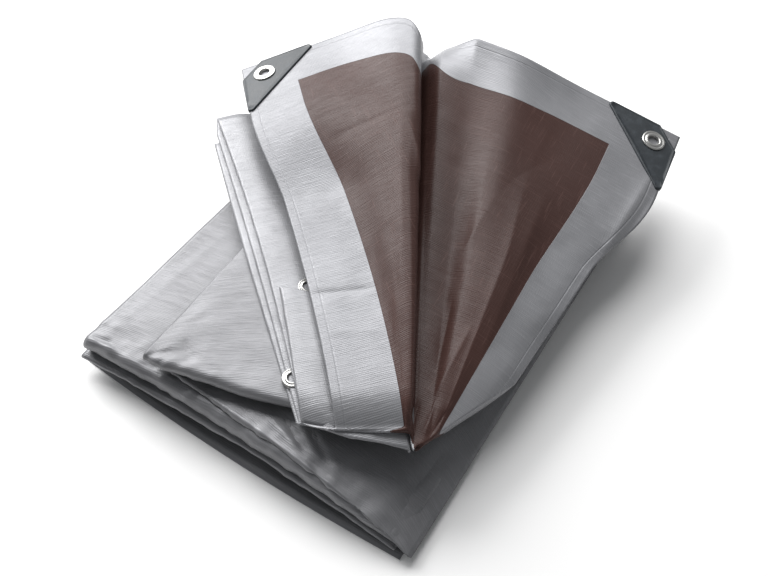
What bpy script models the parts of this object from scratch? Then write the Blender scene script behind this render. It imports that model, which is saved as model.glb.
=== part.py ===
"""Folded tarp: one long strip of coated cloth laid back and forth into a packet, its last
pass fanned out on top in two lobes, with a plastic sleeve and an eyelet in each free corner
and two more eyelets in the hem below. Metres, +Z up, the front of the packet towards -Y."""

from collections import namedtuple

import bmesh
import bpy
import numpy as np
from mathutils import Matrix

# Cloth and fittings
CLOTH = 0.0012
GAP = 0.00035
COLUMNS = 19
TURN_STEPS = 3
TURN_BULGE = (0.0008, 0.0055)
SLEEVE_LEG = 0.077
SLEEVE_CHAMFER = 0.023
SLEEVE_WALL = 0.0012
SLEEVE_RIM = 0.0016
EYELET_INSET = 0.0235

# Eyelets, by the radii of their flanges and bores, the tube's wall and the flange's thickness
Ring = namedtuple("Ring", "flange bore wall plate")
CORNER_RING = Ring(0.0118, 0.0056, 0.0008, 0.0011)
HEM_RING = Ring(0.0090, 0.0044, 0.0007, 0.0006)
RING_GAP = 0.0003
RING_SIDES = 32
RING_BEVEL = 0.4

# The packet, whose plies lie between the table and a top that falls away on the right
PACKET_ROWS = 3
TIER_ROWS = 5
PACKET_TOP = 0.0395
PACKET_RIM = 0.0075
PACKET_FALL = (0.118, 0.200)
# The plies' columns lie over each other but for their ends, which run out over these shares
# of the width on the left and on the right
END_SHARES = (0.50, 0.12)
TIER_RISE = 0.0035

# Lines that run from the front fold of the fan to its back edge. Across is the place in the
# strip's width, 0 and 1 at the top ply's hems. Rest is how far the lowest ply of the fan lies
# above the packet's top there.
Line = namedtuple("Line", "name across front_x front_y front_z back_x back_y back_z front_rest back_rest")
FAN = [
    Line("strip edge", -0.13, 0.080, -0.221, 0.0700, -0.238, 0.046, 0.0720, 0.0172, 0.0175),
    Line("left edge", 0.00, 0.105, -0.209, 0.0710, -0.2109, 0.0769, 0.0800, 0.0172, 0.0195),
    Line("left hem seam", 0.11, 0.148, -0.184, 0.0720, -0.172, 0.115, 0.0930, 0.0165, 0.0215),
    Line("left lobe side", 0.21, 0.1525, -0.1835, 0.0715, -0.119, 0.150, 0.1250, 0.0155, 0.0225),
    Line("left lobe crest", 0.30, 0.156, -0.184, 0.0715, -0.074, 0.172, 0.1420, 0.0135, 0.0225),
    Line("left lobe shoulder", 0.36, 0.160, -0.186, 0.0690, -0.043, 0.181, 0.1330, 0.0115, 0.0225),
    Line("valley", 0.41, 0.167, -0.190, 0.0570, -0.038, 0.190, 0.0945, 0.0098, 0.0225),
    Line("right lobe foot", 0.46, 0.1695, -0.184, 0.0550, -0.021, 0.196, 0.1140, 0.0098, 0.0225),
    Line("right lobe crest", 0.54, 0.171, -0.177, 0.0550, 0.008, 0.205, 0.1260, 0.0098, 0.0205),
    Line("right lobe side", 0.70, 0.1735, -0.170, 0.0550, 0.085, 0.222, 0.1060, 0.0098, 0.0190),
    Line("right hem seam", 0.87, 0.177, -0.160, 0.0530, 0.155, 0.2350, 0.0790, 0.0098, 0.0225),
    Line("right hem ridge", 0.95, 0.188, -0.122, 0.0490, 0.190, 0.2400, 0.0705, 0.0120, 0.0320),
    Line("right edge", 1.00, 0.200, -0.086, 0.0420, 0.2128, 0.2429, 0.0650, 0.0145, 0.0325),
]

# The plies of the packet, lowest first. Level is the share of the packet's height.
Ply = namedtuple("Ply", "name level left_x right_x front_left_y front_right_y back_left_y back_right_y")
PACKET = [
    Ply("bottom", 0.00, -0.136, 0.172, -0.2500, -0.2500, 0.158, 0.158),
    Ply("lower fold under", 0.27, -0.134, 0.158, -0.2465, -0.2440, 0.160, 0.160),
    Ply("lower fold over", 0.42, -0.134, 0.160, -0.2465, -0.2440, 0.163, 0.163),
    Ply("main fold under", 0.52, -0.133, 0.163, -0.2400, -0.2400, 0.164, 0.164),
    Ply("main fold over", 0.84, -0.132, 0.166, -0.2400, -0.2400, 0.160, 0.160),
    Ply("ridge fold under", 0.92, -0.056, 0.172, -0.2290, -0.2430, 0.160, 0.160),
    Ply("ridge fold over", 1.00, -0.058, 0.200, -0.2290, -0.2450, 0.0857, 0.1594),
]

# The front and back folds of the second tier, from left to right. Fold is how far its upper
# ply lies above its lower one.
Corner = namedtuple("Corner", "name share x y fold")
TIER_FRONT = [
    Corner("free corner", 0.00, -0.070, -0.2310, 0.0115),
    Corner("left part", 0.25, 0.008, -0.2170, 0.0105),
    Corner("under the hem", 0.52, 0.090, -0.1880, 0.0080),
    Corner("under the tip", 0.80, 0.140, -0.1580, 0.0045),
    Corner("right end", 1.00, 0.163, -0.1000, 0.0030),
]
TIER_BACK = [
    Corner("left end", 0.00, -0.078, 0.0800, 0.0050),
    Corner("middle", 0.50, 0.041, 0.1140, 0.0045),
    Corner("right end", 1.00, 0.160, 0.1480, 0.0030),
]

# The plies of the fan, lowest first. Sink is the share of the way from the top ply down to
# the bed, left and right are places across, and back is the share of the fan's length.
FanPly = namedtuple("FanPly", "name sink left right back_left back_right rows")
FAN_PLIES = [
    FanPly("first under ply", 1.00, -0.135, 0.955, 0.790, 0.800, 5),
    FanPly("second under ply", 0.81, -0.130, 0.965, 0.835, 0.860, 5),
    FanPly("third under ply", 0.62, -0.120, 0.980, 0.850, 0.870, 5),
    FanPly("flap under", 0.45, -0.066, 0.940, 0.300, 0.220, 3),
    FanPly("flap over", 0.27, -0.064, 0.945, 0.305, 0.225, 3),
    FanPly("top ply", 0.00, 0.000, 1.000, 1.000, 1.000, 12),
]

# The flat corners of the top ply: the place of the cloth's corner, the plan direction and
# rise of its top edge and its side edge, and the lengths that the two edges are laid out by
FlatCorner = namedtuple(
    "FlatCorner", "name across x y z top_deg top_rise side_deg side_rise top_span side_span"
)
FLAT_CORNERS = [
    FlatCorner("left", 0.0, -0.2109, 0.0769, 0.0800, 46.5, 0.235, -43.7, 0.077, 0.50, 0.425),
    FlatCorner("right", 1.0, 0.2128, 0.2429, 0.0650, -172.5, 0.245, -83.5, -0.072, 0.47, 0.330),
]
FLAT_REACH = 0.086
FLAT_FADE = 0.110

# Where the hem eyelets sit: the fan's ply, and the places across and along the fan
HemEyelet = namedtuple("HemEyelet", "name ply across along")
HEM_EYELETS = [HemEyelet("upper", 2, 0.000, 0.334), HemEyelet("lower", 1, -0.101, 0.104)]

Finish = namedtuple("Finish", "name red green blue roughness metallic")
SILVER = Finish("tarp_silver", 0.60, 0.59, 0.61, 0.45, 0.2)
BLACK = Finish("sleeve_plastic", 0.03, 0.04, 0.05, 0.45, 0.0)
NICKEL = Finish("eyelet_metal", 0.80, 0.79, 0.78, 0.30, 1.0)


def clear_scene():
    for thing in list(bpy.data.objects):
        bpy.data.objects.remove(thing, do_unlink=True)


def material_of(finish):
    material = bpy.data.materials.get(finish.name) or bpy.data.materials.new(finish.name)
    material.use_nodes = True
    shader = material.node_tree.nodes["Principled BSDF"]
    shader.inputs["Base Color"].default_value = (finish.red, finish.green, finish.blue, 1)
    shader.inputs["Roughness"].default_value = finish.roughness
    shader.inputs["Metallic"].default_value = finish.metallic
    return material


def object_of(name, vertices, faces, finish):
    mesh = bpy.data.meshes.new(name)
    mesh.from_pydata([tuple(v) for v in vertices], [], [tuple(f) for f in faces])
    mesh.materials.append(material_of(finish))
    mesh.update()
    made = bpy.data.objects.new(name, mesh)
    bpy.context.scene.collection.objects.link(made)
    return made


def ease(low, high, value):
    """0 below low, 1 above high, and a smooth step between."""
    share = np.clip((value - low) / (high - low), 0.0, 1.0)
    return share * share * (3.0 - 2.0 * share)


def column(rows, name):
    return np.array([getattr(row, name) for row in rows])


def curve(places, values, at):
    """A smooth curve through the values that never swings past them: cubic pieces whose
    slope at each place is the harmonic mean of the slopes on its two sides."""
    width = np.diff(places)
    slope = np.diff(values) / width
    same = slope[:-1] * slope[1:] > 0
    total = np.where(same, slope[:-1] + slope[1:], 1.0)
    mean = np.where(same, 2 * slope[:-1] * slope[1:] / total, 0.0)
    tangent = np.concatenate([slope[:1], mean, slope[-1:]])
    at = np.asarray(at, float)
    piece = np.clip(np.searchsorted(places, at) - 1, 0, len(width) - 1)
    t = (at - places[piece]) / width[piece]
    inside = np.clip(t, 0.0, 1.0)
    start, end = values[piece], values[piece + 1]
    first, last = tangent[piece] * width[piece], tangent[piece + 1] * width[piece]
    cubic = start + (end - start) * inside * inside * (3 - 2 * inside)
    cubic = cubic + first * inside * (1 - inside) ** 2 - last * inside**2 * (1 - inside)
    return cubic + (t - inside) * np.where(t < 0, first, last)


def fan_line(name, across):
    return curve(column(FAN, "across"), column(FAN, name), across)


def corner_frame(corner):
    """The flat corner's place and its two unit edges in space, along the top and the side."""
    top = np.radians(corner.top_deg)
    side = np.radians(corner.side_deg)
    along = np.array([np.cos(top), np.sin(top), corner.top_rise])
    down = np.array([np.cos(side), np.sin(side), corner.side_rise])
    along /= np.linalg.norm(along)
    down -= along * (down @ along)
    down /= np.linalg.norm(down)
    return np.array([corner.x, corner.y, corner.z]), along, down


def top_surface(across, along):
    """The top ply: each line of the fan is straight from its front to its back, and the two
    free corners ease into flat planes."""
    front = np.stack([fan_line(f"front_{axis}", across) for axis in "xyz"], -1)
    back = np.stack([fan_line(f"back_{axis}", across) for axis in "xyz"], -1)
    share = np.asarray(along, float)[..., None]
    points = front + (back - front) * share
    for corner in FLAT_CORNERS:
        place, top, side = corner_frame(corner)
        across_length = np.abs(across - corner.across) * corner.top_span
        along_length = (1 - np.asarray(along)) * corner.side_span
        flat = place + across_length[..., None] * top + along_length[..., None] * side
        far = np.maximum(across_length, along_length)
        weight = 1 - ease(FLAT_REACH, FLAT_REACH + FLAT_FADE, far)
        points = points + (flat - points) * weight[..., None]
    return points


def fan_surface(ply, across, along):
    """A ply of the fan: the top ply's plan, sunk towards the bed by the ply's share."""
    if ply.sink == 0:
        return top_surface(across, along)
    front = np.stack([fan_line(f"front_{axis}", across) for axis in "xyz"], -1)
    back = np.stack([fan_line(f"back_{axis}", across) for axis in "xyz"], -1)
    points = front + (back - front) * np.asarray(along)[..., None]
    rest = fan_line("front_rest", across) * (1 - along) + fan_line("back_rest", across) * along
    bed = packet_top(points[..., 0]) + rest
    points[..., 2] += (bed - points[..., 2]) * ply.sink
    return points


def packet_top(x):
    """Level on the left, then a curve that steepens down to the right rim."""
    start, end = PACKET_FALL
    share = np.clip((x - start) / (end - start), 0.0, 1.0)
    return PACKET_TOP - (PACKET_TOP - PACKET_RIM) * share**2


def packet_rows(ply, front_first):
    """The rows of a packet ply, whose height is its share of the packet's."""
    across = np.linspace(0, 1, COLUMNS)
    first, last = PACKET[0].left_x, PACKET[0].right_x
    x = first + (last - first) * across
    x += (ply.left_x - first) * np.clip(1 - across / END_SHARES[0], 0, 1)
    x += (ply.right_x - last) * np.clip(1 - (1 - across) / END_SHARES[1], 0, 1)
    run = (x - ply.left_x) / (ply.right_x - ply.left_x)
    front = ply.front_left_y + (ply.front_right_y - ply.front_left_y) * run
    back = ply.back_left_y + (ply.back_right_y - ply.back_left_y) * run
    z = CLOTH / 2 + (packet_top(x) - CLOTH / 2) * ply.level
    shares = np.linspace(0, 1, PACKET_ROWS)
    rows = [np.stack([x, front + (back - front) * share, z], -1) for share in shares]
    return rows if front_first else rows[::-1]


def tier_rows(over, front_first):
    """A ply of the second tier, ruled between its front fold and its back fold."""
    across = np.linspace(0, 1, COLUMNS)
    ends = [
        [curve(column(table, "share"), column(table, name), across) for name in ("x", "y", "fold")]
        for table in (TIER_FRONT, TIER_BACK)
    ]
    rows = []
    for share in np.linspace(0, 1, TIER_ROWS):
        x, y, fold = [near + (far - near) * share for near, far in zip(*ends)]
        rows.append(np.stack([x, y, packet_top(x) + TIER_RISE + fold * over], -1))
    return rows if front_first else rows[::-1]


def fan_rows(ply, front_first):
    share = np.linspace(0, 1, COLUMNS)
    across = ply.left + (ply.right - ply.left) * share
    back = ply.back_left + (ply.back_right - ply.back_left) * share
    rows = [fan_surface(ply, across, back * row) for row in np.linspace(0, 1, ply.rows)]
    return rows if front_first else rows[::-1]


def turn_rows(before, end, start, after):
    """The rows of a fold: half an ellipse from the end row of one ply to the start row of the
    next, bulging the way that the two plies run."""
    way = (end - before) + (start - after)
    way[:, 2] = 0
    way /= np.linalg.norm(way, axis=1, keepdims=True)
    bulge = np.clip(np.abs(start - end)[:, 2:] / 2, *TURN_BULGE)
    middle, half = (start + end) / 2, (start - end) / 2
    angles = np.linspace(-np.pi / 2, np.pi / 2, TURN_STEPS + 2)[1:-1]
    return [middle + half * np.sin(angle) + way * bulge * np.cos(angle) for angle in angles]


def strip_plies():
    """The rows of each ply, from the strip's hidden end under the packet to its top hem."""
    plies = [packet_rows(ply, index % 2 == 0) for index, ply in enumerate(PACKET)]
    plies += [tier_rows(0, False), tier_rows(1, True)]
    plies += [fan_rows(ply, index % 2 == 1) for index, ply in enumerate(FAN_PLIES)]
    return plies


def strip_rows():
    """All rows of the strip: its plies, with a fold between each and the next."""
    plies = strip_plies()
    rows = list(plies[0])
    for ply in plies[1:]:
        rows += turn_rows(rows[-2], rows[-1], ply[0], ply[1])
        rows += ply
    return np.array(rows)


def corner_place(corner):
    """Where the eyelet of a free corner sits, as a matrix whose Z is the cloth's normal."""
    place, top, side = corner_frame(corner)
    centre = place + EYELET_INSET * (top + side)
    return matrix_of(centre, top, side)


def matrix_of(centre, first, second):
    """A matrix with its X along the first direction and its Z up out of the cloth."""
    normal = np.cross(first, second)
    normal *= np.sign(normal[2]) / np.linalg.norm(normal)
    first = first / np.linalg.norm(first)
    rows = np.eye(4)
    rows[:3, 0] = first
    rows[:3, 1] = np.cross(normal, first)
    rows[:3, 2] = normal
    rows[:3, 3] = centre
    return Matrix(rows.tolist())


def hem_place(eyelet):
    """Where a hem eyelet sits: on the cell of the under ply's rows that holds it."""
    ply = FAN_PLIES[eyelet.ply]
    rows = np.array(fan_rows(ply, True))
    step_across = (eyelet.across - ply.left) / (ply.right - ply.left) * (COLUMNS - 1)
    step_along = eyelet.along / ply.back_left * (ply.rows - 1)
    i, j = int(step_along), int(step_across)
    down, over = step_along - i, step_across - j
    left = rows[i, j] + (rows[i + 1, j] - rows[i, j]) * down
    right = rows[i, j + 1] + (rows[i + 1, j + 1] - rows[i, j + 1]) * down
    run = (rows[i + 1, j] + rows[i + 1, j + 1] - rows[i, j] - rows[i, j + 1]) / 2
    return matrix_of(left + (right - left) * over, right - left, run)


def cut(target, cutter):
    cutter.hide_render = True
    cutter.display_type = "WIRE"
    difference = target.modifiers.new(cutter.name, "BOOLEAN")
    difference.operation = "DIFFERENCE"
    difference.solver = "EXACT"
    difference.object = cutter


def make_prism(name, outline, low, high, finish):
    """A flat plate: the outline, anticlockwise, from the low height to the high one."""
    sides = len(outline)
    vertices = [(x, y, z) for z in (low, high) for x, y in outline]
    walls = [(i, (i + 1) % sides, sides + (i + 1) % sides, sides + i) for i in range(sides)]
    caps = [tuple(range(sides))[::-1], tuple(range(sides, 2 * sides))]
    return object_of(name, vertices, walls + caps, finish)


def make_drill(name, radius, reach, place):
    turns = np.linspace(0, 2 * np.pi, RING_SIDES, endpoint=False)
    outline = [(radius * np.cos(turn), radius * np.sin(turn)) for turn in turns]
    drill = make_prism(name, outline, -reach, reach, BLACK)
    drill.matrix_world = place
    return drill


def make_eyelet(name, ring, inner_half, place):
    """A rolled tube with a flange at each end, turned round the Z axis of its place. Inner
    half is half the thickness that it grips."""
    face = inner_half + RING_GAP
    end = face + ring.plate
    tube = ring.bore + ring.wall
    bevel = ring.plate * RING_BEVEL
    upper = [(tube, face), (ring.flange, face), (ring.flange, end - bevel), (ring.flange - bevel, end)]
    upper += [(ring.bore + bevel, end), (ring.bore, end - bevel)]
    profile = upper + [(r, -z) for r, z in reversed(upper)]
    shape = bmesh.new()
    corners = [shape.verts.new((r, 0, z)) for r, z in profile]
    edges = [shape.edges.new((a, b)) for a, b in zip(corners, corners[1:] + corners[:1])]
    bmesh.ops.spin(
        shape,
        geom=corners + edges,
        cent=(0, 0, 0),
        axis=(0, 0, 1),
        angle=2 * np.pi,
        steps=RING_SIDES,
        use_merge=True,
    )
    bmesh.ops.recalc_face_normals(shape, faces=shape.faces)
    mesh = bpy.data.meshes.new(name)
    shape.to_mesh(mesh)
    shape.free()
    mesh.shade_smooth()
    mesh.set_sharp_from_angle(angle=np.radians(40))
    mesh.materials.append(material_of(NICKEL))
    eyelet = bpy.data.objects.new(name, mesh)
    eyelet.matrix_world = place
    bpy.context.scene.collection.objects.link(eyelet)
    return eyelet


def make_sleeve(corner):
    """A three-cornered pocket over a free corner of the cloth: closed along the cloth's two
    edges, open along the slant and where its own corner is cut away."""
    place, top, side = corner_frame(corner)
    mirror = 1 if np.cross(top, side)[2] > 0 else -1
    half = CLOTH / 2 + GAP + SLEEVE_WALL
    rim = -SLEEVE_RIM
    outline = [
        (SLEEVE_CHAMFER, rim),
        (SLEEVE_LEG, rim),
        (SLEEVE_LEG + SLEEVE_RIM, 0),
        (0, SLEEVE_LEG + SLEEVE_RIM),
        (rim, SLEEVE_LEG),
        (rim, SLEEVE_CHAMFER),
    ]
    reach = 2 * SLEEVE_LEG
    pocket = [(-GAP, -GAP), (reach, -GAP), (reach, reach), (-GAP, reach)]
    if mirror < 0:
        outline = [(x, -y) for x, y in reversed(outline)]
        pocket = [(x, -y) for x, y in reversed(pocket)]
    frame = matrix_of(place, top, side)
    sleeve = make_prism(f"corner_sleeve_{corner.name}", outline, -half, half, BLACK)
    room = make_prism(f"pocket_{corner.name}", pocket, -CLOTH / 2 - GAP, CLOTH / 2 + GAP, BLACK)
    sleeve.matrix_world = frame
    room.matrix_world = frame
    cut(sleeve, room)
    return sleeve, half


def make_sheet():
    rows = strip_rows()
    count, wide = rows.shape[:2]
    corner = (np.arange(count - 1)[:, None] * wide + np.arange(wide - 1)).ravel()
    faces = np.stack([corner, corner + 1, corner + wide + 1, corner + wide], -1)
    sheet = object_of("tarp_sheet", rows.reshape(-1, 3), faces, SILVER)
    solid = sheet.modifiers.new("thickness", "SOLIDIFY")
    solid.thickness = CLOTH
    solid.offset = 0
    return sheet


def main():
    clear_scene()
    sheet = make_sheet()
    for corner in FLAT_CORNERS:
        sleeve, half = make_sleeve(corner)
        place = corner_place(corner)
        make_eyelet(f"eyelet_corner_{corner.name}", CORNER_RING, half, place)
        radius = CORNER_RING.bore + CORNER_RING.wall + GAP
        drill = make_drill(f"drill_{corner.name}", radius, 2 * half, place)
        cut(sleeve, drill)
        cut(sheet, drill)
    for eyelet in HEM_EYELETS:
        place = hem_place(eyelet)
        make_eyelet(f"eyelet_hem_{eyelet.name}", HEM_RING, CLOTH / 2, place)
        radius = HEM_RING.bore + HEM_RING.wall + GAP
        cut(sheet, make_drill(f"drill_hem_{eyelet.name}", radius, CLOTH, place))


main()
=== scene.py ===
"""Folded tarp: a two-tone coated sheet laid back and forth into a packet, with its end fanned
out on top in two lobes. Everything is in metres in the frame that the CAD model is packed in,
+Z up, the packet's front towards -Y. Each part of the cloth is a grid of points worked out
from short tables of folds, then given its thickness. Sleeves and eyelets are profiles carried
round a path."""

from collections import namedtuple

import bpy
import numpy as np
from bpy.props import FloatProperty, FloatVectorProperty, PointerProperty
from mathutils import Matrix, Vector


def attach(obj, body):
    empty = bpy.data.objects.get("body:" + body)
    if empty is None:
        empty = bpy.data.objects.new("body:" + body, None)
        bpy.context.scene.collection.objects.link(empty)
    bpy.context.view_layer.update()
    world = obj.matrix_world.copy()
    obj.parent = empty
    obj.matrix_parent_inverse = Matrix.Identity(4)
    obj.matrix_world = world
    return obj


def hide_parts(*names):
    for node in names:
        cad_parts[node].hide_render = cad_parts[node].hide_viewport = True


bl_info = {
    "name": "Folded Tarp",
    "version": (1, 0, 0),
    "blender": (4, 5, 0),
    "location": "3D View > Sidebar > Folded Tarp",
    "description": "Makes a folded two-tone tarp with cornered sleeves and eyelets",
    "category": "Add Mesh",
}

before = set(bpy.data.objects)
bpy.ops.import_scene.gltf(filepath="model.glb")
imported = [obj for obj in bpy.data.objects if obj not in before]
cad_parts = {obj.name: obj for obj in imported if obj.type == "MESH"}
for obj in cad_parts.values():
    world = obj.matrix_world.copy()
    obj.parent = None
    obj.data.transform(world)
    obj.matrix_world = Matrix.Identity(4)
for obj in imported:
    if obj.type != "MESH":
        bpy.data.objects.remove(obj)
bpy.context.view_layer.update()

# ---------------------------------------------------------------- tables of the folds

# The packet, whose plies lie between the table and a top that falls away on the right
PACKET_TOP = 0.0395
PACKET_RIM = 0.0075
PACKET_FALL = (0.060, 0.200)
BED_FALL = (0.118, 0.200)
END_SHARES = (0.50, 0.12)
FRONT_CROWDING = 1.6
TIER_RISE = 0.0060
TURN_BULGE = (0.0008, 0.0055)
# The share by which the packet's silver is darkened: painted shade, as the packet is the same cloth as the
# fan
PACKET_SHADE_TONE = 0.74
SILVER_METALLIC = 0.35
# The hem weld: how far past the hem seam it runs, and half its width
WELD_PLACE, WELD_HALF = 0.0440, 0.0012

# Lines that run from the front fold of the fan to its back edge. Across is the place in the
# strip's width, 0 and 1 at the top ply's hems. Rest is how far the lowest ply of the fan lies
# above the packet's top there.
# Bow is how far the line's middle stands to the right of straight.
Line = namedtuple("Line", "name across front_x front_y front_z back_x back_y back_z bow front_rest back_rest")
FAN = [
    Line("strip edge", -0.13, 0.0800, -0.2210, 0.0700, -0.2380, 0.0460, 0.0720, 0.0000, 0.0172, 0.0175),
    Line("left edge", 0.00, 0.1083, -0.2105, 0.0710, -0.2109, 0.0769, 0.0800, 0.0081, 0.0172, 0.0195),
    Line("left hem seam", 0.11, 0.1515, -0.1820, 0.0720, -0.1720, 0.1151, 0.0930, 0.0112, 0.0165, 0.0215),
    Line("left lobe side", 0.21, 0.1538, -0.1815, 0.0720, -0.1158, 0.1453, 0.1250, 0.0079, 0.0155, 0.0225),
    Line("left lobe crest", 0.30, 0.1557, -0.1809, 0.0715, -0.0752, 0.1692, 0.1420, 0.0044, 0.0135, 0.0225),
    Line("left lobe brow", 0.335, 0.1569, -0.1808, 0.0710, -0.0611, 0.1751, 0.1390, 0.0017, 0.0125, 0.0225),
    Line("left lobe edge", 0.365, 0.1580, -0.1803, 0.0690, -0.0444, 0.1665, 0.1270, 0.0000, 0.0115, 0.0225),
    Line("valley wall", 0.39, 0.1620, -0.1842, 0.0600, -0.0602, 0.1846, 0.1000, 0.0000, 0.0103, 0.0225),
    Line("valley", 0.41, 0.1662, -0.1912, 0.0550, -0.0641, 0.1959, 0.0927, 0.0000, 0.0098, 0.0225),
    Line("right lobe foot", 0.44, 0.1663, -0.1880, 0.0550, -0.0531, 0.1997, 0.1156, 0.0000, 0.0098, 0.0225),
    Line("right lobe rise", 0.47, 0.1682, -0.1838, 0.0550, -0.0348, 0.1952, 0.1281, 0.0000, 0.0098, 0.0215),
    Line("right lobe crest", 0.54, 0.1710, -0.1770, 0.0550, -0.0016, 0.2018, 0.1245, 0.0000, 0.0098, 0.0205),
    Line("right lobe brow", 0.62, 0.1723, -0.1730, 0.0550, 0.0423, 0.2072, 0.1200, 0.0000, 0.0098, 0.0197),
    Line("right lobe side", 0.72, 0.1737, -0.1693, 0.0545, 0.0924, 0.2180, 0.1040, 0.0000, 0.0098, 0.0190),
    Line("right hem seam", 0.87, 0.1749, -0.1666, 0.0530, 0.1550, 0.2351, 0.0790, 0.0000, 0.0098, 0.0225),
    Line("right hem ridge", 0.95, 0.1887, -0.1254, 0.0490, 0.1900, 0.2401, 0.0705, 0.0000, 0.0120, 0.0320),
    Line("right edge", 1.00, 0.2017, -0.0892, 0.0420, 0.2128, 0.2429, 0.0650, 0.0000, 0.0145, 0.0325),
]
FAN_LENGTH = 0.40

# How far the cloth's top edge droops from the fan's straight lines, in and beside the valley
Droop = namedtuple("Droop", "name across x y z")
DROOPS = [
    Droop("left lobe edge", 0.365, 0.0, 0.0, 0.0),
    Droop("valley wall", 0.39, -0.0060, 0.0225, -0.0200),
    Droop("valley", 0.41, -0.0008, 0.0202, -0.0227),
    Droop("right lobe foot", 0.44, 0.0000, 0.0110, -0.0416),
    Droop("right lobe rise", 0.47, 0.0003, 0.0051, -0.0281),
    Droop("right lobe crest", 0.54, 0.0, 0.0, 0.0),
]
# How far the middle of each line sags, down and away to the back, beside the valley
Sag = namedtuple("Sag", "name across depth")
SAGS = [
    Sag("left lobe edge", 0.365, 0.000),
    Sag("valley wall", 0.39, 0.003),
    Sag("valley", 0.41, 0.008),
    Sag("right lobe rise", 0.47, 0.019),
    Sag("right lobe crest", 0.54, 0.019),
    Sag("right lobe brow", 0.62, 0.009),
    Sag("right lobe side", 0.74, 0.000),
]
SAG_WAY = np.array([-0.43, 0.67, -1.0])
DROOP_START = 0.86
ROLL_SHARE = 0.065
ROLL_DROP = 0.0095
BOW_WAY = np.array([0.8415, 0.5402, 0.0])
LEFT_RUN, RIGHT_RUN = (-0.72, 0.66), (-0.05, 1.0)
LEFT_SEAM, RIGHT_SEAM, VALLEY = 0.11, 0.87, 0.41

# The plies of the packet, lowest first. Level is the share of the packet's height, and rows
# is how many rows of points the ply has.
Ply = namedtuple(
    "Ply", "name level left_x right_x front_left front_middle front_right back_left back_right rows"
)
PACKET = [
    Ply("bottom", 0.00, -0.1378, 0.192, -0.2480, -0.2548, -0.2510, 0.158, 0.158, 14),
    Ply("lower fold under", 0.34, -0.1340, 0.184, -0.2515, -0.2445, -0.2480, 0.160, 0.160, 14),
    Ply("lower fold over", 0.46, -0.1340, 0.186, -0.2515, -0.2445, -0.2480, 0.163, 0.163, 14),
    Ply("main fold under", 0.52, -0.1330, 0.184, -0.2420, -0.2390, -0.2430, 0.164, 0.164, 14),
    Ply("main fold over", 0.90, -0.1310, 0.186, -0.2430, -0.2375, -0.2430, 0.160, 0.160, 90),
    Ply("ridge fold under", 0.95, -0.0560, 0.188, -0.2290, -0.2360, -0.2440, 0.160, 0.160, 20),
    Ply("ridge fold over", 1.00, -0.0580, 0.200, -0.2300, -0.2375, -0.2470, 0.0857, 0.1594, 110),
]

# The front and back folds of the second tier, from left to right. Fold is how far its upper
# ply lies above its lower one.
Corner = namedtuple("Corner", "name share x y fold")
TIER_FRONT = [
    Corner("free corner", 0.00, -0.0660, -0.2345, 0.0080),
    Corner("next to it", 0.08, -0.0500, -0.2315, 0.0095),
    Corner("left part", 0.25, -0.0020, -0.2220, 0.0100),
    Corner("middle", 0.42, 0.0500, -0.2100, 0.0100),
    Corner("under the hem", 0.55, 0.0900, -0.1970, 0.0080),
    Corner("under the tip", 0.80, 0.1400, -0.1650, 0.0045),
    Corner("right end", 1.00, 0.1630, -0.1000, 0.0030),
]
TIER_BACK = [
    Corner("left end", 0.00, -0.078, 0.0800, 0.0050),
    Corner("middle", 0.50, 0.041, 0.1140, 0.0045),
    Corner("right end", 1.00, 0.160, 0.1480, 0.0030),
]

# The plies of the fan, lowest first. Sink is the share of the way from the top ply down to
# the bed, at the ply's left and under the top ply. Left and right are places across, left at
# the front, the middle and the back. Back is the share of the fan's length. Reach is how far
# the front fold comes forward under the left hem, and back off how far it stays back under
# the tip.
FanPly = namedtuple(
    "FanPly",
    "name sink sink_under left_front left_middle left_back right back_left back_right reach back_off rows",
)
FAN_PLIES = [
    FanPly("first under ply", 1.00, 1.00, -0.136, -0.145, -0.148, 0.955, 0.805, 0.800, 0.000, 0.018, 60),
    FanPly("second under ply", 0.84, 0.93, -0.128, -0.124, -0.133, 0.965, 0.826, 0.860, 0.000, 0.018, 60),
    FanPly("third under ply", 0.62, 0.84, -0.113, -0.099, -0.119, 0.980, 0.880, 0.870, 0.011, 0.027, 60),
    FanPly("flap under", 0.42, 0.62, -0.118, -0.094, -0.078, 0.940, 0.304, 0.220, 0.011, 0.027, 40),
    FanPly("flap over", 0.20, 0.48, -0.116, -0.092, -0.076, 0.945, 0.312, 0.225, 0.000, 0.004, 60),
]
TOP_PLY = FanPly("top ply", 0.00, 0.00, 0.000, 0.000, 0.000, 1.000, 1.000, 1.000, 0.000, 0.000, 200)

# The flat corners of the top ply: the place of the cloth's corner, the plan direction and
# rise of its top edge and its side edge, and the lengths that the two edges are laid out by
FlatCorner = namedtuple(
    "FlatCorner", "name across x y z top_deg top_rise side_deg side_rise top_span side_span"
)
FLAT_CORNERS = [
    FlatCorner("left", 0.0, -0.2109, 0.0769, 0.0800, 46.5, 0.235, -43.7, 0.077, 0.50, 0.425),
    FlatCorner("right", 1.0, 0.2128, 0.2429, 0.0650, -172.5, 0.245, -83.5, -0.072, 0.47, 0.330),
]
FLAT_REACH = 0.086
FLAT_FADE = 0.110

# Where the hem eyelets sit: the under ply, and the places across and along the fan
HemEyelet = namedtuple("HemEyelet", "name ply across along")
EYELET_SIDES = 72
HEM_EYELETS = [HemEyelet("upper", 2, 0.003, 0.330), HemEyelet("lower", 1, -0.106, 0.100)]

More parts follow.
